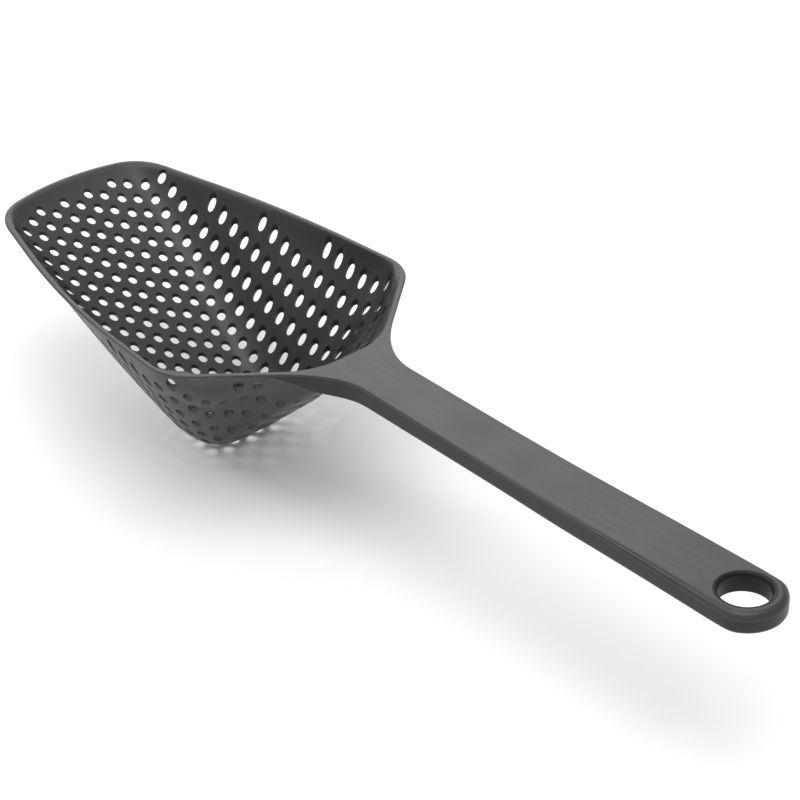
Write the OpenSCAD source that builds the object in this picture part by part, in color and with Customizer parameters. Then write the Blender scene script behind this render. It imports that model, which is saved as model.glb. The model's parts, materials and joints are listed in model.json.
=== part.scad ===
// Perforated hand scoop: a wedge-shaped sieve basket on a long flat handle with a hanging eye.
// Frame: millimetres, origin at the centre of the hanging eye, +X along the handle away from
// the bowl, +Z up. The bowl's rim and the handle's deck lie in one plane.

/* [Bowl] */
// Hanging eye to the middle of the front lip
reach = 353.5; // [345:0.5:365]
// Depth of the sieve sheet below the rim where the sheet meets the back slope
bowl_depth = 61; // [56:0.5:64]
// Half width of the mouth just behind the front corners
mouth_front = 32.5; // [30:0.1:34]
// Half width that the rear sides point back to at the lip
mouth_rear = 46.5; // [44:0.1:47]
// How far the lip stands above the deck plane
lip_rise = 2.8; // [1.5:0.1:3.5]
// Wall thickness of the sheet, square to the surface
sheet_t = 1.4; // [1.2:0.1:1.8]
// Width of the flat land on top of the rim
rim_w = 1.8; // [1.4:0.1:2.4]
// Height of the rim's outer band along the sides
rim_h = 2.2; // [1.8:0.1:3]

/* [Sieve] */
// Diameter of a sieve hole
hole_d = 3.5; // [2.4:0.1:3.8]
// Hole pitch along the bowl
pitch_x = 6.14; // [5.8:0.02:6.6]
// Row pitch across the bowl
pitch_y = 5.58; // [5.3:0.02:5.9]
// Rows on each side of the centre row
side_rows = 9; // [6:1:9]
// Unpierced margin inside the rim, in plan
margin = 3.5; // [3.5:0.1:8]
// Unpierced margin behind the lip
lip_margin = 8.5; // [8:0.5:16]
// Height of the unpierced band under the rim
band = 6.2; // [6:0.1:9]

/* [Handle] */
// Half width of the handle where it leaves the bowl
neck_half = 10.3; // [9.5:0.1:11]
// Half width of the handle beside the eye
tail_half = 13.6; // [12.8:0.1:13.7]
// Outer radius of the handle's end
end_r = 13.9; // [13.8:0.1:14.4]
// Full thickness of the handle
handle_t = 7.6; // [7:0.1:8.4]
// Thickness of the deck strip
deck_t = 1.6; // [1.2:0.1:2]
// Wall thickness of the handle channel
channel_t = 1.8; // [1.5:0.1:2.2]
// Number of cross ribs inside the channel
ribs = 6; // [3:1:8]

/* [Hanging eye] */
// Diameter of the eye
eye_d = 17.2; // [15:0.1:18]
// Outer diameter of the eyelet's flange
flange_d = 20.8; // [20.2:0.1:21.2]

/* [Hidden] */

deck_z = handle_t / 2;        // deck and rim plane
floor_slope = 0.632;          // sheet falls this much per mm towards the back
floor_front = 2.8;            // sheet height above the deck plane at the lip
floor_crown = 0.0026;         // sheet rises with the square of the distance off centre
side_slope = 1.65;            // rise per mm of the side walls
side_step = 4.9;              // steep band under the rear sides of the rim
shoulder_step = 5.4;          // the shoulder walls start this far in from the rim's line
back_step = 4.7;              // the back's slope runs out this far behind its inside edge
back_drop = 8;                // extra steepness at the top of the back, fading over 14 mm
shoulder_slope = 2.93;        // rise per mm of the two shoulder walls
back_slope = 0.98;            // rise per mm of the middle of the back
shoulder_fall = 1.225;        // the shoulders close in by this much per mm
shoulder_at = 222.8;          // where the shoulder line would start at the lip
side_front_run = 0.28;        // front sides open by this much per mm
side_rear_run = 0.08;         // rear sides open by this much per mm
back_u = 166.7;               // lip to the inside edge of the back, on the centre line
first_u = 3.3;                // where the lip's curve meets the corner
last_u = 161.5;               // where the shoulders meet the back's arc
level_u = 106;                // behind this the rim is level
lean = 0.165;                 // columns of holes lean back this much per mm of height
stations = 30;                // grid of the basket, lip to back
lanes = 20;                   // grid of the basket, side to side
heel_h = handle_t;            // height of the basket's band where the handle meets it
gap = 0.15;                   // between the basket's heel and the handle pieces
neck_u = 160;                 // where the handle's widening starts
horn_u = 164;                 // where the handle's two horns start along the shoulders
tang_half = 6;                // half width of the basket's tang in the channel
tang_u = 232;                 // how far back the tang reaches
eye_wall = 1.2;               // wall of the eyelet's tube
eye_round = 1.3;              // chamfer on the eyelet's two mouths

// Blends: the larger or smaller of two values, rounded over k
function smax(a, b, k) = let (h = max(k - abs(a - b), 0) / k) max(a, b) + h * h * k / 4;
function smin(a, b, k) = -smax(-a, -b, k);
function clip(v, lo, hi) = min(max(v, lo), hi);

// Half width of the rim's plan, u mm behind the lip and set in by d
function half_width(u, d) =
    let (corner = 24.4 + 3 * (u - first_u) - d * 3.16,
         front = mouth_front + side_front_run * u - d * 1.04,
         rear = mouth_rear + side_rear_run * u - d,
         shoulder = shoulder_at - shoulder_fall * u - d * 1.58)
    smin(smin(corner, smin(front, rear, 7.2), 13.6), shoulder, 12);

// Height of the rim's land
function rim_z(u) = deck_z + lip_rise * pow(max(1 - u / level_u, 0), 2);

// Heights of the sheet's middle surface
function floor_z(u, y) = deck_z + floor_front - floor_slope * u + floor_crown * y * y;
function side_z(u, y) =
    let (half = smin(mouth_front + side_front_run * u, mouth_rear + side_rear_run * u, 7.2) - 1.02)
    rim_z(u) - side_step * clip((u - 54.7) / 63, 0, 1) - side_slope * (half - abs(y));
function shoulder_z(u, y) =
    deck_z - shoulder_slope * 0.6325 * (shoulder_at - shoulder_step - shoulder_fall * u - abs(y));
function middle_z(u) =
    let (run = back_u + back_step - u)
    deck_z - back_slope * run - back_drop * exp(-max(run, 0) / 14);
function back_z(u, y) =
    let (a = shoulder_z(u, y), b = middle_z(u), below = deck_z - max(a, b))
    smax(a, b, clip(11.4 + 1.32 * below, 11.4, 60));
function wall_z(u, y) = smax(side_z(u, y), back_z(u, y), 23.9);
function sheet_z(u, y) = max(smax(floor_z(u, y), wall_z(u, y), 11.2), deck_z - bowl_depth);

// Upright thickness of the sheet, from its slope
function upright_t(u, y) =
    let (e = 0.5,
         du = (sheet_z(u + e, y) - sheet_z(u - e, y)) / (2 * e),
         dy = (sheet_z(u, y + e) - sheet_z(u, y - e)) / (2 * e))
    sheet_t * min(sqrt(1 + du * du + dy * dy), 2.6);

// Station i, lane j: the plan point, set in from the outer edge by d
function station_u(i) = first_u + (last_u - first_u) * (1 - cos(180 * i / stations)) / 2;
function middle_u(i, d) = d + (back_u + rim_w - 2 * d) * (station_u(i) - first_u) / (last_u - first_u);
function edge_u(i, d) = station_u(i) + (i == 0 ? 0.5 * d : i == stations ? 2.2 - d : 0);
function plan(i, j, d) =
    let (f = 2 * j / lanes - 1,
         eu = edge_u(i, d),
         u = eu + (middle_u(i, d) - eu) * (1 - f * f))
    [u, f * half_width(eu, d)];

function on_edge(i, j) = i == 0 || i == stations || j == 0 || j == lanes;
function band_h(u) = rim_h + (heel_h - rim_h) * pow(clip((u - 130) / 35, 0, 1), 2);

// Points of the sheet's two faces and of the rim
function inner_point(i, j) =
    let (p = plan(i, j, rim_w), z = sheet_z(p[0], p[1]) + upright_t(p[0], p[1]) / 2)
    [p[0] - reach, p[1], on_edge(i, j) ? rim_z(p[0]) : min(z, rim_z(p[0]) - 0.3)];
function outer_point(i, j) =
    let (p = plan(i, j, 0), q = plan(i, j, rim_w),
         z = sheet_z(q[0], q[1]) - upright_t(q[0], q[1]) / 2,
         edge = rim_z(p[0]) - band_h(p[0]))
    [p[0] - reach, p[1], on_edge(i, j) ? edge : min(z, edge - 0.1)];
function rim_point(i, j) =
    let (p = plan(i, j, 0))
    [p[0] - reach, p[1], rim_z(p[0])];

// The rim's loop of grid places, once round
loop = concat([for (j = [0:lanes]) [0, j]],
              [for (i = [1:stations]) [i, lanes]],
              [for (j = [lanes - 1:-1:0]) [stations, j]],
              [for (i = [stations - 1:-1:1]) [i, 0]]);
cells = (stations + 1) * (lanes + 1);
function grid_id(i, j) = i * (lanes + 1) + j;

module sheet_shell() {
    n = len(loop);
    points = concat([for (i = [0:stations]) for (j = [0:lanes]) inner_point(i, j)],
                    [for (i = [0:stations]) for (j = [0:lanes]) outer_point(i, j)],
                    [for (c = loop) rim_point(c[0], c[1])]);
    top = [for (i = [0:stations - 1]) for (j = [0:lanes - 1])
        each [[grid_id(i, j), grid_id(i, j + 1), grid_id(i + 1, j)],
              [grid_id(i, j + 1), grid_id(i + 1, j + 1), grid_id(i + 1, j)]]];
    bottom = [for (f = top) [f[2] + cells, f[1] + cells, f[0] + cells]];
    ring = [for (k = [0:n - 1])
        let (a = loop[k], b = loop[(k + 1) % n],
             ia = grid_id(a[0], a[1]), ib = grid_id(b[0], b[1]),
             ra = 2 * cells + k, rb = 2 * cells + (k + 1) % n)
        each [[ia, ra, ib], [ib, ra, rb],
              [ra, ia + cells, rb], [rb, ia + cells, ib + cells]]];
    polyhedron(points, concat(top, bottom, ring), convexity = 8);
}

// A hole's place: columns lean back as the wall climbs above the floor's plane
function climb(u, y) = max(sheet_z(u, y) - floor_z(u, 0), 0);
function leaned(u, y) = u + lean * climb(u + lean * climb(u, y), y);
function in_field(u, y) =
    abs(y) < half_width(u, margin) && u > lip_margin && u < back_u - margin
    && rim_z(u) - sheet_z(u, y) > (u < 27 ? band / 2 : band);

module sieve_holes() {
    start_u = 8.93;
    for (r = [-side_rows:side_rows])
        for (c = [-1:22]) {
            u0 = start_u + pitch_x * (c + (r % 2 == 0 ? 0.44 : 0));
            y = r * pitch_y;
            u = leaned(u0, y);
            if (in_field(u, y))
                translate([u - reach, y, deck_z - bowl_depth - 10])
                    cylinder(d = hole_d, h = bowl_depth + 20, $fn = 24);
        }
}

module scoop_basket() {
    color([0.20, 0.20, 0.20]) union() {
        difference() {
            sheet_shell();
            sieve_holes();
        }
        // tang that the channel closes on
        translate([back_u - reach + 1, -tang_half, -deck_z + channel_t])
            cube([tang_u - back_u - 1, 2 * tang_half, handle_t - channel_t - deck_t]);
    }
}

// Half width of the handle's plan, u mm behind the lip and set in by d
function handle_half(u, d) =
    let (along = clip((u - neck_u) / (reach - neck_u), 0, 1.1),
         straight = neck_half + (tail_half - neck_half) * pow(along, 1.6),
         shoulder = shoulder_at - shoulder_fall * u)
    smax(shoulder, straight, 18) - d;

// The front edge of the handle pieces, along the basket's heel
function heel_point(f, d) = [back_u + rim_w + gap + d - 3.3 * f * f, 20 * f];

module handle_plan(d) {
    front = [for (f = [-1:0.125:1]) heel_point(f, d)];
    horn = horn_u + d;
    upper = concat([for (u = [horn:2.5:210]) [u, handle_half(u, d)]],
                   [for (u = [220:12:reach - 6]) [u, handle_half(u, d)]]);
    tail_steps = 20;
    r = end_r - d;
    tail = [for (a = [80:-160 / tail_steps:-80]) [reach + r * cos(a), r * sin(a)]];
    lower = [for (k = [len(upper) - 1:-1:0]) [upper[k][0], -upper[k][1]]];
    horn_in = half_width(horn, 0) + gap;
    translate([-reach, 0])
        polygon(concat(front, [[horn, horn_in]], upper, tail, lower, [[horn, -horn_in]]));
}

module handle_channel() {
    top_z = deck_z - deck_t;
    inner_l = 14;
    color([0.17, 0.17, 0.17]) difference() {
        translate([0, 0, -deck_z])
            linear_extrude(handle_t - deck_t) handle_plan(0);
        // trough under the deck strip
        difference() {
            translate([0, 0, -deck_z + channel_t])
                linear_extrude(handle_t) trough_plan();
            for (k = [1:ribs])
                translate([-k * (reach - tang_u - 30) / (ribs + 1) - 14, -20, -deck_z])
                    cube([1.4, 40, handle_t - deck_t]);
        }
        // seat of the eyelet
        translate([0, 0, -deck_z - 1])
            cylinder(r = eye_d / 2 + eye_wall, h = handle_t + 2, $fn = 96);
    }
}

// Plan of the trough: the straight part of the handle, open to the tang at the front
module trough_plan() {
    w0 = neck_half - channel_t;
    w1 = tail_half - channel_t - 0.3;
    polygon([[tang_u - reach - 66, -tang_half], [-160, -tang_half], [-160, -w0], [-16, -w1],
             [-16, w1], [-160, w0], [-160, tang_half], [tang_u - reach - 66, tang_half]]);
}

module deck_strip() {
    color([0.42, 0.43, 0.42]) difference() {
        translate([0, 0, deck_z - deck_t]) linear_extrude(deck_t) handle_plan(0);
        translate([0, 0, -deck_z]) cylinder(d = flange_d, h = 2 * handle_t, $fn = 96);
    }
}

module hang_eyelet() {
    r = eye_d / 2;
    c = eye_round;
    color([0.18, 0.18, 0.18]) rotate_extrude($fn = 96)
        polygon([[r, -deck_z + c], [r + 0.6 * c, -deck_z], [r + eye_wall, -deck_z],
                 [r + eye_wall, deck_z - deck_t], [flange_d / 2, deck_z - deck_t],
                 [flange_d / 2, deck_z], [r + c, deck_z], [r, deck_z - c]]);
}

scoop_basket();
handle_channel();
deck_strip();
hang_eyelet();
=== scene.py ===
"""Sieve scoop: the visual model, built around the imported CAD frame.

Shapes are worked out in millimetres in the bowl's own coordinates: u runs back from the lip,
y runs across and z runs up. Mesh.make turns them into the frame's metres.
"""
import json
import math

import bpy
import numpy as np
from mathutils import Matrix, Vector
from mathutils.geometry import delaunay_2d_cdt

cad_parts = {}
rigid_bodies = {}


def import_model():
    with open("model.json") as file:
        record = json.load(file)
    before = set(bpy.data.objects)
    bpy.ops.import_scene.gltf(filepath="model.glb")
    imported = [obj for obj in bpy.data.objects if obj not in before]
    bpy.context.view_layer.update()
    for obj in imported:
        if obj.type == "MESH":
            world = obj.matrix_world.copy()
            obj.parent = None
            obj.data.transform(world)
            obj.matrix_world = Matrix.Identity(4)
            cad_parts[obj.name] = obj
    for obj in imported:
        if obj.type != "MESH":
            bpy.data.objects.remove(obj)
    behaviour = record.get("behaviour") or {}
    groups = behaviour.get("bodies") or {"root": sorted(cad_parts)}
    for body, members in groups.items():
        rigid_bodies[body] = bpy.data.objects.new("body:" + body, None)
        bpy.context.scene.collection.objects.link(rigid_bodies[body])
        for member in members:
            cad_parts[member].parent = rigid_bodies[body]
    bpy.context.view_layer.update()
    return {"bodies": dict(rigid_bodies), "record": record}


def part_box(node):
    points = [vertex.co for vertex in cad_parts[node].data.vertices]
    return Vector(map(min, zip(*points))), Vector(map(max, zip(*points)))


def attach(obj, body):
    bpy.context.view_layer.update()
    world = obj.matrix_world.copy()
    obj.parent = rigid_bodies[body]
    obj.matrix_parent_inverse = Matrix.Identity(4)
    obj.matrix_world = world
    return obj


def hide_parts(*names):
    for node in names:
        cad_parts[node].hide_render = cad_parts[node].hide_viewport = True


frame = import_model()


def corners_mm(node):
    low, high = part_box(node)
    return np.array(low) * 1000, np.array(high) * 1000


# ---------------------------------------------------------------- driving sizes, millimetres
BASKET_LOW = corners_mm("scoop_basket")[0]
DECK_HIGH = corners_mm("deck_strip")[1]
REACH = -BASKET_LOW[0]             # eye's axis to the lip
DECK_Z = DECK_HIGH[2]              # plane of rim and deck
END_R = DECK_HIGH[0]               # outer radius of the handle's end
BODY_H = 2 * DECK_Z                # full height of the handle
EYE_R = frame["record"]["mounts"][0]["dims"]["r_mm"]
BOWL_DEPTH = 61.0                  # deck plane to the sheet's lowest middle

LIP_RISE = 2.8
LEVEL_U = 106.0                    # behind this the rim is level
LIP_BOW = 0.0053                   # the lip curves back with the square of y
BACK_U = 166.7                     # lip to the bowl's inside edge at the back
RIM_W = 1.8                        # width of the rim's land
FLANGE_T = 1.1                     # thickness of the rim's flange and of the deck's edge
FLANGE_OUT = 0.4                   # how far the flange stands out over the wall
SHEET_T = 1.4
HOLE_R = 1.75
HOLE_SEGMENTS = 24
PITCH_X, PITCH_Y = 6.14, 5.58
SIDE_ROWS = 9
FIRST_HOLE_U = 8.93
STAGGER = 0.44                     # of the pitch, on every other row
LEAN = 0.165                       # columns lean back this much per mm of wall height
CORNER = 0.43                      # outside, the back corners are this much tighter than inside
BAND = 6.2                         # unpierced height under the rim
RIM_MARGIN, LIP_MARGIN = 3.9, 8.5
NECK_HALF, TAIL_HALF = 10.3, 13.15  # half widths of the handle at its two ends
HORN_U = 151.0                     # the deck's horns start here along the shoulders
BODY_HORN_U = 157.0                # and the body's under them
BOWL_CENTRE = np.array([95.0, 0.0])
SEAM = 0.12                        # gap between the deck and the body under it


# ---------------------------------------------------------------- shape of the bowl
def smax(a, b, k):
    h = np.maximum(k - np.abs(a - b), 0) / k
    return np.maximum(a, b) + h * h * k / 4


def smin(a, b, k):
    return -smax(-a, -b, k)


def smoothstep(a, b, x):
    t = np.clip((x - a) / (b - a), 0, 1)
    return t * t * (3 - 2 * t)


# Half widths of the mouth's outline: its front, its rear and its two shoulders.
def front_half(u):
    return 32.5 + 0.28 * u


def rear_half(u):
    return 46.5 + 0.08 * u


def shoulder_half(u):
    return 222.8 - 1.225 * u


def inset(u, y):
    """Distance in from the rim's outer edge, in plan: positive inside the mouth."""
    a = np.abs(y)
    sides = smin((front_half(u) - a) / 1.038, (rear_half(u) - a) / 1.003, 6.6)
    mouth = smin(sides, u - LIP_BOW * y * y, 10)
    mouth = smin(mouth, (shoulder_half(u) - a) / 1.581, 8.7)
    return smin(mouth, BACK_U + RIM_W - u, 7)


def rim_z(u):
    return DECK_Z + LIP_RISE * np.maximum(1 - u / LEVEL_U, 0) ** 2


def floor_z(u, y):
    return DECK_Z + 2.8 - 0.632 * u + 0.0026 * y * y


def side_z(u, y):
    half = smin(front_half(u), rear_half(u), 7.2) - 1.02
    return rim_z(u) - 4.9 * np.clip((u - 54.7) / 63, 0, 1) - 1.65 * (half - np.abs(y))


def back_z(u, y, tight=1.0):
    shoulder = DECK_Z - 2.93 * 0.6325 * (shoulder_half(u) - 5.4 - np.abs(y))
    run = BACK_U + 4.7 - u
    middle = DECK_Z - 0.98 * run - 8 * np.exp(-np.maximum(run, 0) / 14)
    depth = DECK_Z - np.maximum(shoulder, middle)
    return smax(shoulder, middle, np.clip(11.4 + 1.32 * depth, 11.4, 60) * tight)


def sheet_z(u, y, tight=1.0):
    """Middle of the sheet. Under 1, tight sharpens the two back corners."""
    wall = smax(side_z(u, y), back_z(u, y, tight), 23.9)
    return np.maximum(smax(floor_z(u, y), wall, 11.2), DECK_Z - BOWL_DEPTH)


def upright_t(u, y, e=0.4):
    du = (sheet_z(u + e, y) - sheet_z(u - e, y)) / (2 * e)
    dy = (sheet_z(u, y + e) - sheet_z(u, y - e)) / (2 * e)
    return SHEET_T * np.minimum(np.sqrt(1 + du * du + dy * dy), 2.6)


def shoulder_root(u, g, drop, slope, deepest):
    """Along the rear rim the wall starts at the rim's edge and slopes in to meet the sheet."""
    return rim_z(u) - np.minimum(drop + slope * g, deepest) + 20 * (1 - smoothstep(118, 142, u))


def heel(u, y):
    """1 where the handle's full depth stands behind the rim, fading out along both shoulders."""
    return (1 - smoothstep(14, 30.5, np.abs(y))) * smoothstep(100, 140, u)


def under_z(u, y):
    """Underside of the outer band: the flange alone along the sides, the handle's depth behind."""
    return rim_z(u) - FLANGE_T - (BODY_H - FLANGE_T) * heel(u, y)


def outer_wall(u, y):
    """Outside of the sheet, filleted into the underside of the handle."""
    g = np.maximum(inset(u, y) - FLANGE_OUT, 0)
    corner = 1 - CORNER * (1 - smoothstep(14, 25, np.abs(y)))
    s = smin(sheet_z(u, y, corner) - upright_t(u, y) / 2, shoulder_root(u, g, FLANGE_T, 1.25, 20), 1.5)
    return smin(s, under_z(u, y), 0.5 + 3 * heel(u, y))


def inner_z(u, y):
    g = np.maximum(inset(u, y) - RIM_W, 0)
    s = smin(sheet_z(u, y) + upright_t(u, y) / 2, shoulder_root(u, g, 0.6, 0.9, 5), 1.5)
    r = rim_z(u)
    z = s + (r - s) * np.exp(-g / 1.3)
    return smin(z, r - 0.12 * g, 0.6)


def outer_z(u, y):
    z = outer_wall(u, y)
    g = np.maximum(inset(u, y) - FLANGE_OUT - 0.5, 0)
    return z + (under_z(u, y) - z) * np.exp(-g / 1.5) * (1 - heel(u, y))


def slope_normals(height, u, y, e=0.15):
    """Upward unit normals of a height field."""
    du = (height(u + e, y) - height(u - e, y)) / (2 * e)
    dy = (height(u, y + e) - height(u, y - e)) / (2 * e)
    n = np.stack([-du, -dy, np.ones_like(du)], axis=1)
    return n / np.linalg.norm(n, axis=1, keepdims=True)


# ---------------------------------------------------------------- mesh helper
class Mesh:
    """Points in bowl millimetres, with known normals and, where given, a weight for the painted
    highlight that makes edges pale.
    """

    def __init__(self):
        self.points, self.normals, self.wear, self.faces = [], [], [], []
        self.count = 0

    def add(self, points, normals=None, wear=0.0):
        points = np.asarray(points, float)
        n = len(points)
        self.points.append(points)
        self.normals.append(np.zeros((n, 3)) if normals is None else np.asarray(normals, float))
        self.wear.append(np.broadcast_to(np.asarray(wear, float), (n,)))
        ids = np.arange(self.count, self.count + n)
        self.count += n
        return ids

    def bridge(self, a, b, closed=True):
        """Quads between two rows of the same length; faces look to the left of a, seen b to a."""
        n = len(a)
        for k in range(n if closed else n - 1):
            m = (k + 1) % n
            self.faces.append((int(a[k]), int(a[m]), int(b[m]), int(b[k])))

    def make(self, name):
        points = np.concatenate(self.points)
        points = (points - np.array([REACH, 0, 0])) * 0.001
        mesh = bpy.data.meshes.new(name)
        mesh.from_pydata(points.tolist(), [], self.faces)
        mesh.update()
        mesh.shade_smooth()
        # per-point weight of the painted highlight that lightens rims, hole lips and rounded edges
        wear = mesh.attributes.new("wear", "FLOAT", "POINT")
        wear.data.foreach_set("value", np.concatenate(self.wear).astype(np.float32))
        known = np.concatenate(self.normals)
        has = np.linalg.norm(known, axis=1) > 0.5
        if has.any():
            auto = np.array([v.vector for v in mesh.vertex_normals])
            auto[has] = known[has]
            auto /= np.maximum(np.linalg.norm(auto, axis=1, keepdims=True), 1e-9)
            mesh.normals_split_custom_set_from_vertices(auto.tolist())
        obj = bpy.data.objects.new(name, mesh)
        bpy.context.collection.objects.link(obj)
        return obj


def triangulate(points, loops, keep):
    """Delaunay triangles of plan points that hold the loops' edges and pass keep(ids, centre)."""
    edges = []
    for loop in loops:
        edges += [(int(a), int(b)) for a, b in zip(loop, np.roll(loop, -1))]
    plan = [Vector((float(p[0]), float(p[1]))) for p in points]
    _, _, faces, origin, _, _ = delaunay_2d_cdt(plan, edges, [], 0, 1e-6)
    source = [o[0] for o in origin]
    tris = []
    for f in faces:
        ids = [source[i] for i in f]
        p = points[ids]
        if keep(ids, p.mean(axis=0)):
            area = np.cross(p[1] - p[0], p[2] - p[0])
            tris.append(ids if area > 0 else ids[::-1])
    return tris


def resample(path, count, closed=True):
    """The path again, in evenly spaced points."""
    path = np.vstack([path, path[:1]]) if closed else path
    step = np.r_[0, np.cumsum(np.hypot(*np.diff(path, axis=0).T))]
    at = np.linspace(0, step[-1], count + 1)[:-1] if closed else np.linspace(0, step[-1], count)
    return np.c_[np.interp(at, step, path[:, 0]), np.interp(at, step, path[:, 1])]


def loop_normals(path, closed=True):
    """Outward plan normals of a loop that runs anticlockwise."""
    if closed:
        t = np.roll(path, -1, axis=0) - np.roll(path, 1, axis=0)
    else:
        t = np.gradient(path, axis=0)
    t = t / np.linalg.norm(t, axis=1, keepdims=True)
    return np.c_[t[:, 1], -t[:, 0]]


def trace_inset(level, angles):
    """Points where inset() equals level, along rays from the middle of the bowl."""
    c, s = np.cos(angles), np.sin(angles)
    low, high = np.zeros_like(angles), np.full_like(angles, 160.0)
    for _ in range(40):
        mid = (low + high) / 2
        inside = inset(BOWL_CENTRE[0] + mid * c, mid * s) > level
        low, high = np.where(inside, mid, low), np.where(inside, high, mid)
    return np.c_[BOWL_CENTRE[0] + low * c, low * s]


# ---------------------------------------------------------------- sieve
def hole_centres():
    """Staggered rows of holes. Each column leans back as the walls rise."""
    found = []
    for row in range(-SIDE_ROWS, SIDE_ROWS + 1):
        y = row * PITCH_Y
        for column in range(-1, 23):
            u0 = FIRST_HOLE_U + PITCH_X * (column + (STAGGER if row % 2 == 0 else 0))
            u = u0
            for _ in range(2):
                u = u0 + LEAN * max(float(sheet_z(u, y) - floor_z(u, 0.0)), 0)
            depth = float(rim_z(u) - sheet_z(u, y))
            clear = float(inset(u, y)) > RIM_MARGIN and u > LIP_MARGIN
            if clear and depth > (BAND / 2 if u < 27 else BAND):
                found.append((u, y))
    return np.array(found)


def ring(centre, radius, segments=HOLE_SEGMENTS):
    """Points of a circle in plan, and the directions out from its centre."""
    a = np.linspace(0, 2 * math.pi, segments, endpoint=False)
    out = np.c_[np.cos(a), np.sin(a)]
    return np.asarray(centre) + radius * out, out


def nearest(points, centres):
    """Plan distance from each point to the centre nearest to it."""
    across = points[:, None, :] - centres
    return np.hypot(across[:, :, 0], across[:, :, 1]).min(axis=1)


def hex_points(spacing, keep):
    """A hexagonal grid over the bowl's plan, where keep(points) holds."""
    us = np.arange(0, BACK_U + 4, spacing * math.sqrt(3) / 2)
    rows = []
    for k, u in enumerate(us):
        ys = np.arange(-63, 63, spacing) + (spacing / 2 if k % 2 else 0)
        rows.append(np.c_[np.full_like(ys, u), ys])
    p = np.vstack(rows)
    return p[keep(p)]


def sheet_face(mesh, height, sign, outline, bands, centres):
    """One face of the pierced sheet. Returns the ids of its outline and of each hole's lip."""
    lip = HOLE_R + 0.2
    rings = [ring(c, lip)[0] for c in centres]
    far = hex_points(3.1, lambda p: (inset(p[:, 0], p[:, 1]) > bands[-1] + 1.6)
                     & (nearest(p, centres) > lip + 1.0))
    near = []
    edge_n = loop_normals(outline)
    for d in bands:
        row = outline - edge_n * d
        near.append(row[nearest(row, centres) > lip + 0.5])
    plan = np.vstack([outline, *rings, *near, far])
    n_out = len(outline)
    owner = np.full(len(plan), -1)
    loops = [np.arange(n_out)]
    for k in range(len(centres)):
        ids = n_out + k * HOLE_SEGMENTS + np.arange(HOLE_SEGMENTS)
        owner[ids] = k
        loops.append(ids)

    # triangulated with its straight sides bowed out a hair, so no sliver lies along them
    off = plan - BOWL_CENTRE
    bowed = off * (1 - 1e-6 * (off ** 2).sum(axis=1, keepdims=True))

    def keep(ids, centre):
        if max(ids) < n_out:                                  # inside the outline, not outside it
            a, b, c = bowed[sorted(ids)]
            return np.cross(b - a, c - a) > 0
        k = owner[ids[0]]
        return not (k >= 0 and owner[ids[1]] == k and owner[ids[2]] == k)

    tris = triangulate(bowed, loops, keep)
    z = height(plan[:, 0], plan[:, 1])
    normals = slope_normals(height, plan[:, 0], plan[:, 1]) * sign
    # points on the hole lips get a painted highlight weight of 0.35
    wear = np.where(owner >= 0, 0.35, 0.0)
    ids = mesh.add(np.c_[plan, z], normals, wear)
    for t in tris:
        t = t if sign > 0 else t[::-1]
        mesh.faces.append(tuple(int(ids[i]) for i in t))
    return ids[:n_out], [ids[l] for l in loops[1:]]


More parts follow.
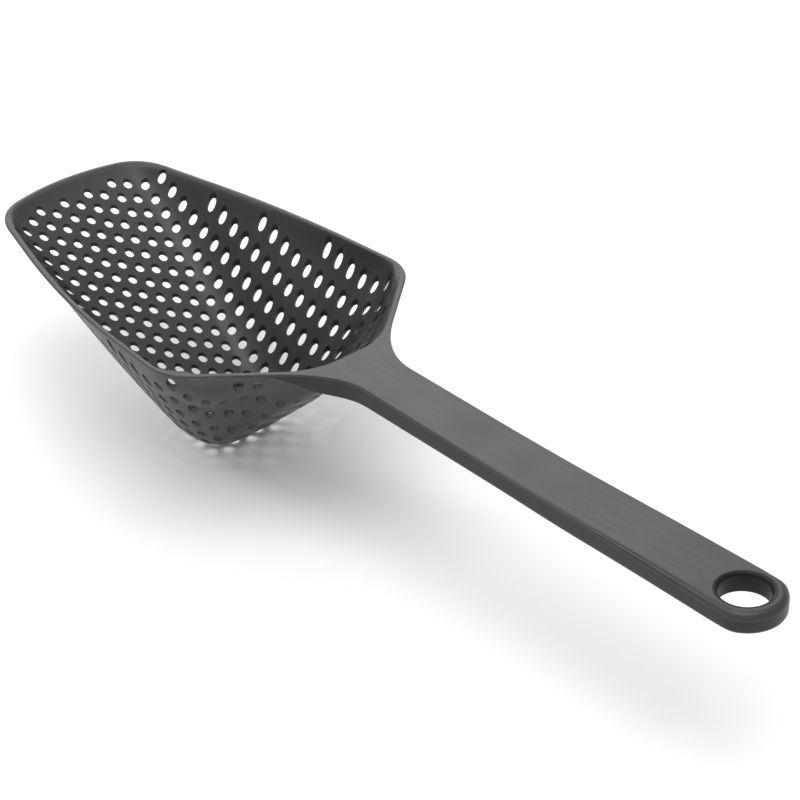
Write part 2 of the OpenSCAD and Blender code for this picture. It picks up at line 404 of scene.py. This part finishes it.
def basket_shell():
    """The pierced bowl: two faces, the walls of the holes, and the rim that joins the faces."""
    angles = np.linspace(0, 2 * math.pi, 2400, endpoint=False)
    outer = resample(trace_inset(0.0, angles), 460)
    n2 = loop_normals(outer)
    centres = hole_centres()
    mesh = Mesh()
    top_edge = outer - n2 * (RIM_W + 0.12)
    bottom_edge = outer - n2 * (FLANGE_OUT + 0.5)
    blind = np.array([heel(u, y) > 0.1 and inset(u, y) < 8.5 for u, y in centres])
    centres = np.vstack([centres[~blind], centres[blind]])
    through = int((~blind).sum())
    bands = [0.35, 0.8, 1.4, 2.2, 3.4]
    top_ids, top_holes = sheet_face(mesh, inner_z, 1, top_edge, bands, centres)
    low_ids, low_holes = sheet_face(mesh, outer_z, -1, bottom_edge, bands + [5.0], centres[:through])

    # hole walls, with a rounded lip on both faces; the handle closes the blind ones below
    lip = ((0.07, 0.06), (0.0, 0.2))               # (wider, deeper) than the hole's own edge
    for k, c in enumerate(centres):
        rows = [top_holes[k]]
        if k >= through:
            for grow, drop in lip + ((0.0, 1.6), (-1.6, 1.8)):
                p, _ = ring(c, HOLE_R + grow)
                rows.append(mesh.add(np.c_[p, inner_z(p[:, 0], p[:, 1]) - drop], None, 0.2))
            for a, b in zip(rows, rows[1:]):
                mesh.bridge(a, b)
            mesh.faces.append(tuple(int(i) for i in rows[-1]))
            continue
        for height, sign, steps in ((inner_z, 1, lip), (outer_z, -1, lip[::-1])):
            for grow, drop in steps:
                p, out = ring(c, HOLE_R + grow)
                z = height(p[:, 0], p[:, 1]) - sign * drop
                surface = slope_normals(height, p[:, 0], p[:, 1]) * sign
                inward = np.c_[-out, np.zeros(HOLE_SEGMENTS)]
                mix = surface + inward * (0.9 if grow else 4.0)
                mix /= np.linalg.norm(mix, axis=1, keepdims=True)
                # painted highlight weight: strong on the rounded lip, light in the bore
                rows.append(mesh.add(np.c_[p, z], mix, 0.8 if grow else 0.2))
        rows.append(low_holes[k])
        for a, b in zip(rows, rows[1:]):
            mesh.bridge(a, b)

    # rim: inner edge, land, flange and its underside, as (inset, height) from the rim's own edge;
    # it turns into the covered profile where the deck lies over it
    under = smoothstep(HORN_U - 0.3, HORN_U + 0.7, outer[:, 0])
    land = [(RIM_W + 0.04, -0.20), (RIM_W - 0.12, -0.05), (RIM_W - 0.4, 0.0), (0.55, 0.0), (0.28, -0.04),
            (0.08, -0.16), (0.0, -0.36), (0.0, -0.78), (0.07, -0.95), (0.22, -1.04)]
    covered = [(RIM_W + 0.1 - 0.24 * k, -0.42) for k in range(6)]
    covered += [(FLANGE_OUT + 0.13 - 0.01 * k, -0.5 - 0.1 * k) for k in range(4)]
    rows = [top_ids]
    r = rim_z(outer[:, 0])
    for (d, dz), (cd, cz) in zip(land, covered):
        dd = d + (cd - d) * under
        p = outer - n2 * dd[:, None]
        z = r + dz + (cz - dz) * under
        # painted highlight weight: full on the rim's land and its rounding, 0.6 below it
        rows.append(mesh.add(np.c_[p, z], None, 1.0 if -0.5 < dz < 0 else 0.6))
    low_edge = outer_z(bottom_edge[:, 0], bottom_edge[:, 1])
    for d, rise in ((0.0, 0.5), (0.15, 0.15)):
        p = outer - n2 * (FLANGE_OUT + d)
        z = np.minimum(low_edge + rise, r - FLANGE_T + 0.02)
        rows.append(mesh.add(np.c_[p, z], None, 0.1))
    rows.append(low_ids)
    for a, b in zip(rows, rows[1:]):
        mesh.bridge(b, a)
    return mesh.make("basket_shell")


# ---------------------------------------------------------------- handle
def straight_half(u):
    """Half width of the handle without its flare."""
    t = np.clip((u - 160) / (REACH - 160), 0, 1.1)
    return NECK_HALF + (TAIL_HALF - NECK_HALF) * t ** 1.6


def handle_half(u):
    return smax(shoulder_half(u), straight_half(u), 18.0)


def edge_radius(u):
    """Rounding of the handle's upper edge: crisp at the bowl, soft at the tail."""
    return 0.35 + 2.0 * np.clip((u - 175) / (REACH - 175), 0, 1.1) ** 1.6


def lift(u):
    """The handle dips slightly in the middle of its length and turns up towards its end."""
    dip = 0.5 * np.sin(math.pi * np.clip((u - 176) / 150, 0, 1)) ** 2
    return 1.0 * smoothstep(255, REACH + END_R, u) - dip


def handle_outline(start_u):
    """The handle's edge from the +y horn round the tail to the -y horn, clockwise from above."""
    u = np.r_[np.arange(start_u, 215, 1.2), np.arange(215, REACH - 3, 3.0)]
    side = np.c_[u, handle_half(u)]
    a = np.radians(np.linspace(91, 0, 34))
    u = REACH + END_R * np.cos(a)
    tail = np.c_[u, smin(END_R * np.sin(a), straight_half(u), 0.01 + 1.6 * np.sin(a))]
    half = np.vstack([side, tail[:-1]])
    return np.vstack([half, tail[-1:], half[::-1] * [1, -1]])


def heel_outline(level, start_u, count=70):
    """The mouth's back edge at an inset, from the -y horn to the +y horn."""
    angles = np.linspace(-1.2, 1.2, 1600)
    p = trace_inset(level, angles)
    p = p[p[:, 0] >= start_u]
    return resample(p, count, closed=False)


def constant(value):
    """A radius that is the same all round a plate."""
    return lambda u: np.full_like(u, value)


def plate(name, outer, back, bore_r, top, bottom, radius, low_radius, wear=0.5):
    """A closed plate over the handle's plan, with rounded edges and the eye's bore.

    Its loop runs along back, from -y to +y, and then along outer.
    """
    mesh = Mesh()
    loop = np.vstack([back, outer])[::-1]                      # anticlockwise
    n2 = loop_normals(loop)
    is_back = np.r_[np.ones(len(back), bool), np.zeros(len(outer), bool)][::-1]
    r = np.where(is_back, 0.3, radius(loop[:, 0]))
    rl = np.where(is_back, 0.05, low_radius(loop[:, 0]))
    steps = np.radians([0, 15, 32, 50, 68, 84])
    bore_segments = 96

    def cap(d, height, flip):
        edge = loop - n2 * d[:, None]
        bore, _ = ring((REACH, 0.0), bore_r + 0.12, bore_segments)
        us = np.arange(168, REACH - 14, 6.0)
        inside = np.vstack([np.c_[us, np.full_like(us, y)] for y in (-5.0, 0.0, 5.0)])
        plan = np.vstack([edge, bore, inside])
        loops = [np.arange(len(edge)), len(edge) + np.arange(bore_segments)]

        def keep(ids, centre):
            if all(len(edge) <= i < len(edge) + bore_segments for i in ids):
                return False
            return inside_polygon(centre, edge)

        tris = triangulate(plan, loops, keep)
        normals = slope_normals(height, plan[:, 0], plan[:, 1]) * (-1 if flip else 1)
        ids = mesh.add(np.c_[plan, height(plan[:, 0], plan[:, 1])], normals, 0.0)
        for t in tris:
            t = t[::-1] if flip else t
            mesh.faces.append(tuple(int(ids[i]) for i in t))
        return ids[:len(edge)], ids[loops[1]]

    edge_top, bore_top = cap(r, top, False)
    edge_low, bore_low = cap(rl, bottom, True)
    high, low = top(loop[:, 0], loop[:, 1]), bottom(loop[:, 0], loop[:, 1])
    rows = [edge_top]
    for a in steps[1:]:
        p = loop - n2 * (r * (1 - np.sin(a)))[:, None]
        # painted highlight weight on the middle of the edge's rounding, less on the lower rounding
        highlight_amount = wear if 0.3 < a < 1.2 else 0.1
        rows.append(mesh.add(np.c_[p, high - r * (1 - np.cos(a))], None, highlight_amount))
    rows.append(mesh.add(np.c_[loop, high - r], None, 0.05))
    rows.append(mesh.add(np.c_[loop, low + rl], None, 0.05))
    for a in steps[::-1][:-1]:
        p = loop - n2 * (rl * (1 - np.sin(a)))[:, None]
        rows.append(mesh.add(np.c_[p, low + rl * (1 - np.cos(a))], None, wear * 0.5))
    rows.append(edge_low)
    for a, b in zip(rows, rows[1:]):
        mesh.bridge(b, a)
    wall = [bore_top]
    p, _ = ring((REACH, 0.0), bore_r, bore_segments)
    for height, dz in ((top, -0.12), (bottom, 0.12)):
        wall.append(mesh.add(np.c_[p, height(p[:, 0], p[:, 1]) + dz], None, 0.2))
    wall.append(bore_low)
    for a, b in zip(wall, wall[1:]):
        mesh.bridge(a, b)
    return mesh.make(name)


def inside_polygon(point, polygon):
    x, y = point
    px, py = polygon[:, 0], polygon[:, 1]
    qx, qy = np.roll(px, -1), np.roll(py, -1)
    rise = np.where(qy == py, 1e-9, qy - py)
    crosses = ((py > y) != (qy > y)) & (x < (qx - px) * (y - py) / rise + px)
    return bool(crosses.sum() % 2)


def edge_depth(u):
    """Thickness of the deck at its edge."""
    return np.maximum(FLANGE_T, edge_radius(u) + 0.25)


def deck_cover():
    """The flat top of the handle, with a horn along each shoulder of the bowl."""
    outer = handle_outline(HORN_U)
    back = heel_outline(RIM_W + 0.1, HORN_U - 3)

    def top(u, y):
        return DECK_Z + lift(u) + 0 * y

    def bottom(u, y):
        return DECK_Z + lift(u) - edge_depth(u)

    return plate("deck_cover", outer, back, 10.04, top, bottom, edge_radius, constant(0.1))


def handle_body():
    """The side band and underside of the handle, tucked in under the deck's edge; its nylon is painted
    darker than the bowl's as painted shade.
    """
    path = handle_outline(BODY_HORN_U)
    n2 = -loop_normals(path, closed=False)
    along = path[:, 0]
    tuck = SEAM - 0.1 * smoothstep(230, 320, along) + 0.26 * (1 - smoothstep(BODY_HORN_U, 166, along))
    tuck += 0.15 * smoothstep(166, 174, along) * (1 - smoothstep(190, 260, along))
    outer = path - n2 * tuck[:, None]
    back = heel_outline(1.0, BODY_HORN_U)

    def top(u, y):
        seam = SEAM - 0.1 * smoothstep(230, 320, u)
        return DECK_Z + lift(u) - edge_depth(u) - seam

    def bottom(u, y):
        flat = DECK_Z - BODY_H + lift(u) * smoothstep(250, 300, u)
        flat = flat - 0.4 * (1 - smoothstep(190, 270, u))
        neck = outer_wall(u, y) - 0.4 * smoothstep(165, 185, u)
        return np.minimum(np.where(u < 185, neck, flat), top(u, y) - 0.3)

    def low_radius(u):
        return np.clip(0.06 * (u - BODY_HORN_U), 0.03, 1.5)

    return plate("handle_body", outer, back, 9.9, top, bottom, constant(0.1), low_radius)


def eyelet_ring():
    """The lining of the eye, turned: flange, rolled mouth, bore, rolled lower mouth and tube."""
    mesh = Mesh()
    roll, low_roll = 1.3, 0.9
    flange_r, tube_r = 10.0, 9.75
    profile = [(flange_r, DECK_Z - 1.4), (flange_r, DECK_Z - 0.09), (flange_r - 0.05, DECK_Z - 0.03)]
    for a in np.radians(np.linspace(0, 90, 9)):
        profile.append((EYE_R + roll * (1 - math.sin(a)), DECK_Z - 0.02 - roll * (1 - math.cos(a))))
    for a in np.radians(np.linspace(90, 0, 7)):
        profile.append((EYE_R + low_roll * (1 - math.sin(a)), -DECK_Z + low_roll * (1 - math.cos(a))))
    profile += [(tube_r, -DECK_Z), (tube_r, DECK_Z - 1.4)]
    rows = []
    for r, z in profile:
        p, _ = ring((REACH, 0.0), r, 128)
        # light painted highlight weight over the whole ring
        rows.append(mesh.add(np.c_[p, z + lift(p[:, 0])], None, 0.3))
    for a, b in zip(rows, rows[1:] + rows[:1]):
        mesh.bridge(a, b)
    return mesh.make("eyelet_ring")


# ---------------------------------------------------------------- materials
def nylon(name, colour, roughness, grain=1.0, brushed=0.0, gloss=0.5):
    """Moulded nylon: fine spark-erosion grain, cloudy sheen, and edges made pale by a painted highlight.
    """
    material = bpy.data.materials.new(name)
    material.use_nodes = True
    nodes, links = material.node_tree.nodes, material.node_tree.links
    bsdf = nodes["Principled BSDF"]
    bsdf.inputs["IOR"].default_value = 1.5
    bsdf.inputs["Specular IOR Level"].default_value = gloss

    place = nodes.new("ShaderNodeTexCoord")

    def noise(scale, detail=2.0, rough=0.5, stretch=(1, 1, 1)):
        mapping = nodes.new("ShaderNodeMapping")
        mapping.inputs["Scale"].default_value = stretch
        links.new(place.outputs["Object"], mapping.inputs["Vector"])
        n = nodes.new("ShaderNodeTexNoise")
        n.inputs["Scale"].default_value = scale
        n.inputs["Detail"].default_value = detail
        n.inputs["Roughness"].default_value = rough
        links.new(mapping.outputs["Vector"], n.inputs["Vector"])
        return n.outputs["Fac"]

    def math_node(op, a, b, clamp=False):
        m = nodes.new("ShaderNodeMath")
        m.operation = op
        m.use_clamp = clamp
        for socket, value in ((m.inputs[0], a), (m.inputs[1], b)):
            if hasattr(value, "is_linked"):
                links.new(value, socket)
            else:
                socket.default_value = value
        return m.outputs[0]

    def spread(value, low, high):
        r = nodes.new("ShaderNodeMapRange")
        r.inputs["From Min"].default_value = 0.3
        r.inputs["From Max"].default_value = 0.7
        r.inputs["To Min"].default_value = low
        r.inputs["To Max"].default_value = high
        links.new(value, r.inputs["Value"])
        return r.outputs["Result"]

    # the mesh's painted highlight weight for edges
    wear = nodes.new("ShaderNodeAttribute")
    wear.attribute_name = "wear"
    clouds = noise(38, 3)
    specks = noise(900, 2, 0.6)
    fine = noise(2600, 2, 0.6)
    scratch = noise(260, 3, 0.65, stretch=(0.06, 3.2, 3.2))

    # colour: slow clouding, fine specks, and edges painted pale as a highlight
    mix = nodes.new("ShaderNodeMix")
    mix.data_type = "RGBA"
    mix.inputs["A"].default_value = (*[c * 0.86 for c in colour], 1)
    mix.inputs["B"].default_value = (*[c * 1.14 for c in colour], 1)
    blend = math_node("ADD", math_node("MULTIPLY", clouds, 0.6), math_node("MULTIPLY", specks, 0.4))
    links.new(spread(blend, 0, 1), mix.inputs["Factor"])
    # painted highlight: weighted edges lightened towards twice the colour, varied by the clouds
    painted_highlight_mix = nodes.new("ShaderNodeMix")
    painted_highlight_mix.data_type = "RGBA"
    painted_highlight_mix.inputs["B"].default_value = (*[min(c * 2.1 + 0.01, 1) for c in colour], 1)
    links.new(mix.outputs["Result"], painted_highlight_mix.inputs["A"])
    highlight_amount = math_node("MULTIPLY", wear.outputs["Fac"], spread(clouds, 0.15, 0.5), True)
    links.new(highlight_amount, painted_highlight_mix.inputs["Factor"])
    links.new(painted_highlight_mix.outputs["Result"], bsdf.inputs["Base Color"])

    # gloss: cloudy, streaked along the handle, a little smoother where the painted highlight lies
    cloudy = spread(clouds, roughness - 0.045, roughness + 0.045)
    rough = math_node("ADD", cloudy, math_node("MULTIPLY", spread(specks, -1, 1), 0.03))
    if brushed:
        rough = math_node("ADD", rough, math_node("MULTIPLY", spread(scratch, -1, 1), brushed))
    rough = math_node("SUBTRACT", rough, math_node("MULTIPLY", wear.outputs["Fac"], 0.06))
    links.new(rough, bsdf.inputs["Roughness"])

    # relief: spark-erosion grain, and the slow waviness of a moulding
    height = math_node("ADD", math_node("MULTIPLY", fine, 0.55), math_node("MULTIPLY", specks, 0.9))
    bump = nodes.new("ShaderNodeBump")
    bump.inputs["Strength"].default_value = 0.22 * grain
    bump.inputs["Distance"].default_value = 0.00012
    links.new(height, bump.inputs["Height"])
    slow = nodes.new("ShaderNodeBump")
    slow.inputs["Strength"].default_value = 0.25
    slow.inputs["Distance"].default_value = 0.0006
    links.new(noise(22, 2), slow.inputs["Height"])
    links.new(slow.outputs["Normal"], bump.inputs["Normal"])
    links.new(bump.outputs["Normal"], bsdf.inputs["Normal"])
    return material


# ---------------------------------------------------------------- pieces on the frame
BODY = next(iter(frame["bodies"]))


def fit(piece, node, material):
    piece.data.materials.append(material)
    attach(piece, BODY)
    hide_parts(node)


charcoal = nylon("nylon_bowl", (0.024, 0.024, 0.0235), 0.43)
# handle body painted darker than the bowl's nylon as painted shade on the sides and underside
shaded_handle_nylon = nylon("nylon_handle", (0.016, 0.0165, 0.016), 0.42, brushed=0.02, gloss=0.38)
deck_nylon = nylon("nylon_deck", (0.022, 0.0235, 0.0225), 0.38, grain=0.8, brushed=0.035)
# eyelet painted near-black as painted shade for the dark inside of the eye
shaded_eyelet_nylon = nylon("nylon_eyelet", (0.008, 0.0085, 0.008), 0.42, grain=0.8, gloss=0.2)

fit(basket_shell(), "scoop_basket", charcoal)
fit(handle_body(), "handle_channel", shaded_handle_nylon)
fit(deck_cover(), "deck_strip", deck_nylon)
fit(eyelet_ring(), "hang_eyelet", shaded_eyelet_nylon)


# ---------------------------------------------------------------- stage, camera and light
def studio_floor():
    size = 6.0
    z = BASKET_LOW[2] * 0.001 - 0.0002
    mesh = bpy.data.meshes.new("floor")
    corners = [(x * size, y * size, z) for x, y in ((-1, -1), (1, -1), (1, 1), (-1, 1))]
    mesh.from_pydata(corners, [], [(0, 1, 2, 3)])
    floor = bpy.data.objects.new("studio_floor", mesh)
    bpy.context.collection.objects.link(floor)
    paper = bpy.data.materials.new("pale_paper")
    paper.use_nodes = True
    bsdf = paper.node_tree.nodes["Principled BSDF"]
    bsdf.inputs["Base Color"].default_value = (0.97, 0.97, 0.97, 1)
    bsdf.inputs["Roughness"].default_value = 0.9
    mesh.materials.append(paper)


def direction(azimuth, elevation):
    """Unit vector towards a viewer: azimuth 0 is -Y, turning towards +X."""
    a, e = math.radians(azimuth), math.radians(elevation)
    return Vector((math.sin(a) * math.cos(e), -math.cos(a) * math.cos(e), math.sin(e)))


def aim(obj, at, azimuth, elevation, distance):
    away = direction(azimuth, elevation)
    obj.location = at + away * distance
    obj.rotation_euler = away.to_track_quat("Z", "Y").to_euler()
    bpy.context.collection.objects.link(obj)


def camera():
    data = bpy.data.cameras.new("camera")
    data.lens = 134.4
    data.sensor_width = 36.0
    data.clip_end = 30
    obj = bpy.data.objects.new("camera", data)
    aim(obj, Vector((-0.23152, 0.06443, -0.06336)), 48.12, 32.5, 1.140)
    bpy.context.scene.camera = obj


def softbox(name, azimuth, elevation, distance, size, power):
    data = bpy.data.lights.new(name, "AREA")
    data.shape = "RECTANGLE"
    data.size, data.size_y = size
    data.energy = power
    obj = bpy.data.objects.new(name, data)
    middle = Vector((-0.17, 0, 0))
    aim(obj, middle, azimuth, elevation, distance)


def studio_light():
    world = bpy.data.worlds.new("studio")
    bpy.context.scene.world = world
    world.use_nodes = True
    background = world.node_tree.nodes["Background"]
    background.inputs["Color"].default_value = (1, 1, 1, 1)
    background.inputs["Strength"].default_value = 0.62
    softbox("back_box", 233, 31, 1.7, (1.1, 1.1), 7)
    softbox("edge_box", 310, 40, 1.8, (0.5, 0.5), 4)
    softbox("top_box", 20, 84, 1.9, (1.6, 1.6), 20)


camera()
studio_light()
studio_floor()
bpy.context.scene.view_settings.view_transform = "Standard"
